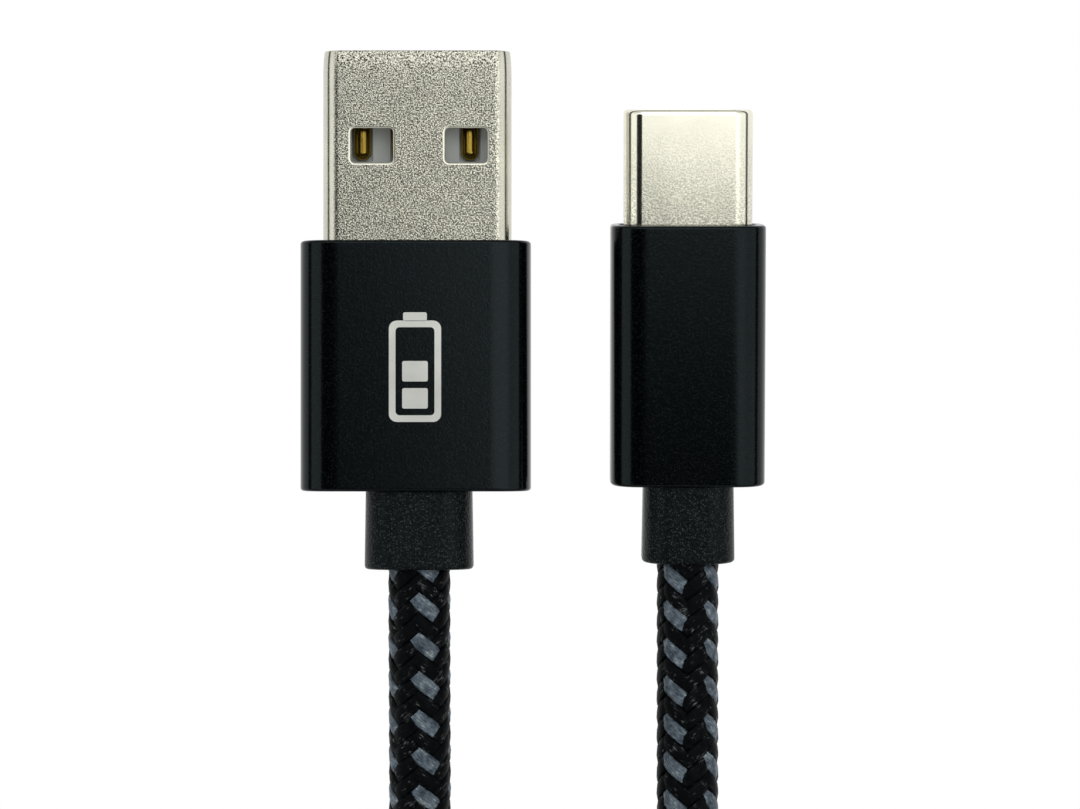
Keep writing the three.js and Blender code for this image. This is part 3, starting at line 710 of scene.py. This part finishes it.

# Painted shade in the hollows of its grain, none at the front and most at the back.
plated_c = plated_material("plated_drawn", (0.95, 0.93, 0.79), roughness=0.14, grain=0.11, bump=0.4,
                           depth=0.009, pit_shade=0.45, fade=[y * MM for y in RUBBED_AND_SHADED])
lip_start = SHELL_C["tip"] - LIP["length"]
c_shell = add_block("c_shell_skin", SHELL_C["width"], SHELL_C["height"], lip_start, SHELL_C["rear"])
round_axis(c_shell, ALONG, SHELL_C["corner"], SHELL_C["steps"])
open_ends(c_shell)
bpy.ops.object.mode_set(mode="EDIT")
lip_y, lip_inset = 0.0, 0.0
for step in range(1, LIP["steps"] + 1):
    turn = math.radians(90 * step / LIP["steps"])
    select(c_shell, "EDGE", lambda edge: all(
        abs(v.co.y - (lip_start + lip_y)) < TOUCH / 10 for v in edge.verts))
    bpy.ops.mesh.extrude_edges_move()
    forward = LIP["length"] * math.sin(turn) - lip_y
    inset = LIP["inset"] * (1 - math.cos(turn))
    narrower, lower = (
        (SHELL_C[side] - 2 * inset) / (SHELL_C[side] - 2 * lip_inset) for side in ("width", "height"))
    bpy.ops.transform.translate(value=(0, forward, 0))
    bpy.ops.transform.resize(value=(narrower, 1, lower), center_override=(0, 0, 0))
    lip_y, lip_inset = lip_y + forward, inset
bpy.ops.object.mode_set(mode="OBJECT")
apply(c_shell, "SOLIDIFY", thickness=SHELL_C["wall"], offset=-1, use_even_offset=False)
finish_piece(c_shell, "c", plated_c, smooth=50)
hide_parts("c_shell")

# ==== Strain reliefs =============================================================================
# Black elastomer moulded over the cord's end and the ferrule, flaring slightly to the rear, where the braid
# goes in through a round mouth. The spark-eroded mould leaves coarse bumps that sparkle, and a few grains
# carry painted glints.
RELIEFS = {
    "a": {"width": 6.8, "end_width": 6.95, "height": 5.4, "corner": 1.9, "length": 5.0, "offset": 0.09},
    "c": {"width": 5.8, "end_width": 5.96, "height": 4.8, "corner": 1.75, "length": 5.0, "offset": 0.07},
}
RELIEF_GAP = 0.05  # from the sleeve
RELIEF_RIM = 0.22
RELIEF_STEPS = 12  # facets on one corner
MOUTH = {"radius": 2.07, "depth": 1.1}

# A few of its grains carry painted glints.
elastomer = grain_material("elastomer", (0.0012, 0.0018, 0.0022), metallic=0.0, roughness=0.24,
                           specular=0.13, grain=0.2, bump=1.0, depth=0.06, mottle=0.3,
                           tint=(0.75, 0.93, 1.0), painted_glint=(0.05, 0.06, 0.065))
for plug, size in RELIEFS.items():
    front = -SLEEVES[plug]["length"] - RELIEF_GAP
    rear = -SLEEVES[plug]["length"] - size["length"]
    relief = add_block(f"{plug}_relief_skin", size["width"], size["height"], front, rear)
    round_axis(relief, ALONG, size["corner"], RELIEF_STEPS)
    bpy.ops.object.mode_set(mode="EDIT")
    select(relief, "FACE", lambda face: face.normal.y < -0.9)
    bpy.ops.transform.resize(value=(size["end_width"] / size["width"], 1, 1), center_override=(0, rear, 0))
    bpy.ops.object.mode_set(mode="OBJECT")
    round_edges(relief, lambda edge: abs(edge_middle(edge).y - rear) < TOUCH, RELIEF_RIM, 4)
    bpy.ops.object.select_all(action="DESELECT")
    bpy.ops.mesh.primitive_cylinder_add(radius=MOUTH["radius"], depth=2 * MOUTH["depth"], vertices=40,
                                        location=(0, rear, 0), rotation=(math.pi / 2, 0, 0))
    cut_out(relief, bpy.context.object)
    choose(relief)
    relief.location.x = size["offset"]
    bpy.ops.object.transform_apply(location=True)
    finish_piece(relief, plug, elastomer, smooth=40)
    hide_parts(f"{plug}_strain_relief")

# ==== Charge symbol ==============================================================================
# A plain upright battery, lasered through the anodising of the larger sleeve to the bare metal.
SYMBOL = {"x": -7.45, "y": -3.9, "width": 3.3, "height": 6.4, "line": 0.42, "corner": 0.5}
SYMBOL_CAP = {"width": 1.5, "height": 0.55, "overlap": 0.03}
SYMBOL_BARS = 3  # there is room for these, and all but the last are filled
BAR_CORNER = 0.12
PLATE = 0.04  # thickness
SYMBOL_PROUD = 0.012

bare_metal = grain_material("bare_metal", (0.74, 0.75, 0.71), metallic=0.15, roughness=0.45, specular=0.5,
                            grain=0.12, bump=0.5, depth=0.01, mottle=0.2)


def symbol_plate(name, width, height, y, corner):
    plate = add_block(name, width, PLATE, y + height / 2, y - height / 2)
    round_axis(plate, UP, corner, 5)
    return plate


symbol = symbol_plate("charge_symbol", SYMBOL["width"], SYMBOL["height"], 0, SYMBOL["corner"])
hollow = symbol_plate("hollow", SYMBOL["width"] - 2 * SYMBOL["line"],
                      SYMBOL["height"] - 2 * SYMBOL["line"], 0, SYMBOL["corner"] / 2)
hollow.scale.z = 4
bpy.ops.object.transform_apply(scale=True)
cut_out(symbol, hollow)
plates = [symbol_plate("cap", SYMBOL_CAP["width"], SYMBOL_CAP["height"],
                       (SYMBOL["height"] + SYMBOL_CAP["height"]) / 2 - SYMBOL_CAP["overlap"], BAR_CORNER)]
bar_room = SYMBOL["height"] - 4 * SYMBOL["line"]
bar_height = (bar_room - (SYMBOL_BARS - 1) * SYMBOL["line"]) / SYMBOL_BARS
for i in range(SYMBOL_BARS - 1):
    plates.append(symbol_plate(
        "bar", SYMBOL["width"] - 4 * SYMBOL["line"], bar_height,
        -bar_room / 2 + bar_height / 2 + i * (bar_height + SYMBOL["line"]), BAR_CORNER))
choose(symbol)
for plate in plates:
    plate.select_set(True)
bpy.ops.object.join()
symbol.location = (SYMBOL["x"] - PLACES["a"][0][0], SYMBOL["y"] - PLACES["a"][0][1],
                   SLEEVES["a"]["height"] / 2 + SYMBOL_PROUD - PLATE / 2)
bpy.ops.object.transform_apply(location=True)
finish_piece(symbol, "a", bare_metal)

# ==== Contacts and insulator of the rectangular plug =============================================
# Four stamped contacts, gold-plated, lie in grooves of a white moulded tongue. Each is a domed bar with
# a round end, whose narrow tail runs back to its wire.
CONTACT_XS = (-3.56, -1.1, 0.87, 3.33)
CONTACT_A = {"width": 1.2, "height": 0.6, "front": 11.0, "end": 5.2, "z": -0.02}
TAIL_A = {"width": 0.6, "thickness": 0.2, "overlap": 0.6, "end": -8.6, "z": -0.2}

gold = grain_material("gold", (0.37, 0.25, 0.045), metallic=1.0, roughness=0.13, specular=0.5, grain=0.3,
                      bump=0.25, depth=0.008)
white_plastic = grain_material("white_plastic", (0.74, 0.77, 0.76), metallic=0.0, roughness=0.42,
                               specular=0.4, grain=0.4, bump=0.2, depth=0.01, mottle=0.08)
end_radius = CONTACT_A["width"] / 2
for i, x in enumerate(CONTACT_XS):
    bpy.ops.object.select_all(action="DESELECT")
    bpy.ops.mesh.primitive_uv_sphere_add(segments=24, ring_count=16, radius=end_radius,
                                         location=(0, 0, 0), rotation=(0, 0, math.pi / 2))
    contact = bpy.context.object
    contact.name = contact.data.name = f"a_contact_bar_{i + 1}"
    bpy.ops.object.transform_apply(rotation=True)
    contact.scale.z = CONTACT_A["height"] / end_radius
    bpy.ops.object.transform_apply(scale=True)
    bpy.ops.object.mode_set(mode="EDIT")
    select(contact, "FACE", lambda face: face.calc_center_median().y > 0)
    bpy.ops.transform.translate(value=(0, CONTACT_A["front"] - CONTACT_A["end"] - CONTACT_A["width"], 0))
    bpy.ops.mesh.select_all(action="SELECT")
    bpy.ops.transform.translate(value=(x, CONTACT_A["end"] + end_radius, CONTACT_A["z"]))
    bpy.ops.object.mode_set(mode="OBJECT")
    add_block("tail", TAIL_A["width"], TAIL_A["thickness"], CONTACT_A["end"] - TAIL_A["overlap"],
              TAIL_A["end"], x, TAIL_A["z"])
    contact.select_set(True)
    bpy.context.view_layer.objects.active = contact
    bpy.ops.object.join()
    finish_piece(contact, "a", gold, smooth=50)
    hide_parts(f"a_contact_{i + 1}")

# ==== Strap ======================================================================================
# A hook-and-loop strap, woven of black nylon, that pinches the hank at its middle and closes over
# itself with a flap on top.
STRAP = {"x": 1.3, "y": -82.56, "width": 8.0, "half_width": 10.2, "height": 14.9, "thickness": 1.0,
         "corner": 1.3, "edge": 0.3}
FLAP = {"x": -1.2, "reach": 15.0, "thickness": 0.55, "tip": 2.5, "inset": 0.15, "sunk": 0.05, "edge": 0.15}
WEAVE_PITCH, WEAVE_BUMP, WEAVE_DEPTH = 0.35, 0.8, 0.08
PLACES["strap"] = ((STRAP["x"], STRAP["y"], STRAP["height"] / 2), 0.0)

webbing = grain_material("webbing", (0.012, 0.013, 0.015), metallic=0.0, roughness=0.7, specular=0.3,
                         grain=0.5, bump=0.5, depth=0.1, mottle=0.4)
webbing_tree = webbing.node_tree
threads = []
for axis in ("X", "Y"):
    thread = webbing_tree.nodes.new("ShaderNodeTexWave")
    thread.bands_direction = axis
    thread.inputs["Scale"].default_value = math.pi / (10 * WEAVE_PITCH * MM)
    webbing_tree.links.new(webbing_tree.nodes["Texture Coordinate"].outputs["Object"],
                           thread.inputs["Vector"])
    threads.append(thread.outputs["Fac"])
add_bump(webbing_tree, calculate(webbing_tree, "MULTIPLY", *threads), WEAVE_BUMP, WEAVE_DEPTH * MM)

strap = add_block("strap_band", 2 * STRAP["half_width"], STRAP["height"], STRAP["width"] / 2,
                  -STRAP["width"] / 2)
round_axis(strap, ALONG, STRAP["corner"], 8)
open_ends(strap)
apply(strap, "SOLIDIFY", thickness=STRAP["thickness"], offset=-1, use_even_offset=True)
apply(strap, "BEVEL", width=STRAP["edge"], segments=3, limit_method="ANGLE", angle_limit=SHARP)
flap = add_block("flap", FLAP["reach"], FLAP["thickness"], STRAP["width"] / 2 - FLAP["inset"],
                 -STRAP["width"] / 2 + FLAP["inset"], FLAP["x"],
                 (STRAP["height"] + FLAP["thickness"]) / 2 - FLAP["sunk"])
round_edges(flap, lambda edge: runs_along(edge, UP) and edge_middle(edge).x > 0, FLAP["tip"], 8)
apply(flap, "BEVEL", width=FLAP["edge"], segments=3, limit_method="ANGLE", angle_limit=SHARP)
strap.select_set(True)
bpy.context.view_layer.objects.active = strap
bpy.ops.object.join()
finish_piece(strap, "strap", webbing)
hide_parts("hank_strap")

# ==== Inner parts ================================================================================
# What the shells and sleeves hide or half hide keeps its plain shape: the housing with its contacts,
# springs and latches, the little circuit card, the wires, the ferrules and the moulded cores.
black_plastic = grain_material("black_plastic", (0.012, 0.0125, 0.014), metallic=0.0, roughness=0.45,
                               specular=0.4, grain=0.3, bump=0.35, depth=0.01, mottle=0.2)
FINISHES = {  # colour, metallic, roughness
    "spring_steel": ((0.48, 0.47, 0.44), 1.0, 0.3),
    "brass": ((0.52, 0.36, 0.13), 1.0, 0.35),
    "jacket": ((0.03, 0.03, 0.032), 0.0, 0.5),
    "circuit_card": ((0.02, 0.11, 0.05), 0.0, 0.3),
    "chip": ((0.02, 0.02, 0.02), 0.0, 0.5),
    "wire_red": ((0.45, 0.02, 0.015), 0.0, 0.35),
    "wire_white": ((0.7, 0.7, 0.66), 0.0, 0.35),
    "wire_green": ((0.02, 0.25, 0.06), 0.0, 0.35),
    "wire_black": ((0.012, 0.012, 0.013), 0.0, 0.35),
}
slot_materials = {"white_plastic": white_plastic, "gold_contact": gold, "black_plastic": black_plastic}
for slot, (colour, metallic, roughness) in FINISHES.items():
    slot_materials[slot] = grain_material(slot, colour, metallic, roughness, specular=0.5, grain=0.25,
                                          bump=0.2, depth=0.008, mottle=0.15)
for part in frame["record"]["subparts"]:
    if part["material_slot"] in slot_materials:
        node = frame["nodes"][part["node"]]
        node.data.materials.clear()
        node.data.materials.append(slot_materials[part["material_slot"]])

# ==== Floor and tent =============================================================================
# A white table in a white tent. The roof is brighter towards the plugs' tips, the walls are dimmer at
# both ends, and a ring near the horizon is dark. Two round openings beside straight up, one towards the
# cord and one to the left, darken what the flat metal mirrors.
FLOOR_REACH = 2.0  # metres
FLOOR_REFLECTED = 0.95  # of the brightness that the lens sees
ROOF_EDGE = (22, 38)  # degrees from straight up, where the roof ends and the walls have begun
HORIZON_EDGE = (70, 77)
ROOF_Y, WALL_Y = (-0.4, 0.1), (0.3, 0.6)  # where one tone has gone over into the next
FRONT, BACK = (0.85, 0.86, 0.85), (1.85, 1.86, 1.81)
SIDES, ENDS = (1.05, 1.06, 1.03), (0.65, 0.66, 0.65)
HORIZON, OPENING = (0.05, 0.055, 0.058), (0.004, 0.006, 0.007)
OPENINGS = (  # direction, and the edge in degrees from it
    ((0.052, -0.374, 1), (11.5, 14.5)),
    ((-0.315, -0.07, 1), (16.4, 18)),
)

floor_mesh = bpy.data.meshes.new("floor")
floor_corners = [(x * FLOOR_REACH, y * FLOOR_REACH, 0) for x, y in ((-1, -1), (1, -1), (1, 1), (-1, 1))]
floor_mesh.from_pydata(floor_corners, [], [(0, 1, 2, 3)])
floor = bpy.data.objects.new("floor", floor_mesh)
bpy.context.collection.objects.link(floor)
floor_white = bpy.data.materials.new("floor_white")
floor_white.use_nodes = True
floor_tree = floor_white.node_tree
floor_tree.nodes.clear()
floor_seen = floor_tree.nodes.new("ShaderNodeLightPath").outputs["Is Camera Ray"]
floor_glow = floor_tree.nodes.new("ShaderNodeEmission")
floor_tree.links.new(map_range(floor_tree, floor_seen, 0.0, 1.0, FLOOR_REFLECTED, 1.0),
                     floor_glow.inputs["Strength"])
floor_tree.links.new(floor_glow.outputs[0], floor_tree.nodes.new("ShaderNodeOutputMaterial").inputs[0])
floor_mesh.materials.append(floor_white)

world = bpy.data.worlds.new("tent")
bpy.context.scene.world = world
world.use_nodes = True
tent = world.node_tree
way = tent.nodes.new("ShaderNodeTexCoord").outputs["Generated"]


def tent_mask(direction, inner, outer):
    """1 towards this direction out to inner degrees from it, and 0 past outer degrees."""
    dot = tent.nodes.new("ShaderNodeVectorMath")
    dot.operation = "DOT_PRODUCT"
    length = math.sqrt(sum(c * c for c in direction))
    dot.inputs[1].default_value = [c / length for c in direction]
    tent.links.new(way, dot.inputs[0])
    mask = map_range(tent, dot.outputs["Value"], math.cos(math.radians(outer)), math.cos(math.radians(inner)))
    mask.node.interpolation_type = "SMOOTHSTEP"
    return mask


tent_side = tent.nodes.new("ShaderNodeSeparateXYZ")
tent.links.new(way, tent_side.inputs["Vector"])
way_y = tent_side.outputs["Y"]
roof = mix_colours(tent, map_range(tent, way_y, *ROOF_Y), FRONT, BACK)
walls = mix_colours(tent, map_range(tent, calculate(tent, "ABSOLUTE", way_y), *WALL_Y), SIDES, ENDS)
sky = mix_colours(tent, tent_mask((0, 0, 1), *ROOF_EDGE), walls, roof)
sky = mix_colours(tent, tent_mask((0, 0, 1), *HORIZON_EDGE), HORIZON, sky)
for direction, edge in OPENINGS:
    sky = mix_colours(tent, tent_mask(direction, *edge), sky, OPENING)
seen = tent.nodes.new("ShaderNodeLightPath").outputs["Is Camera Ray"]
tent.links.new(mix_colours(tent, seen, sky, (1.0, 1.0, 1.0)), tent.nodes["Background"].inputs["Color"])
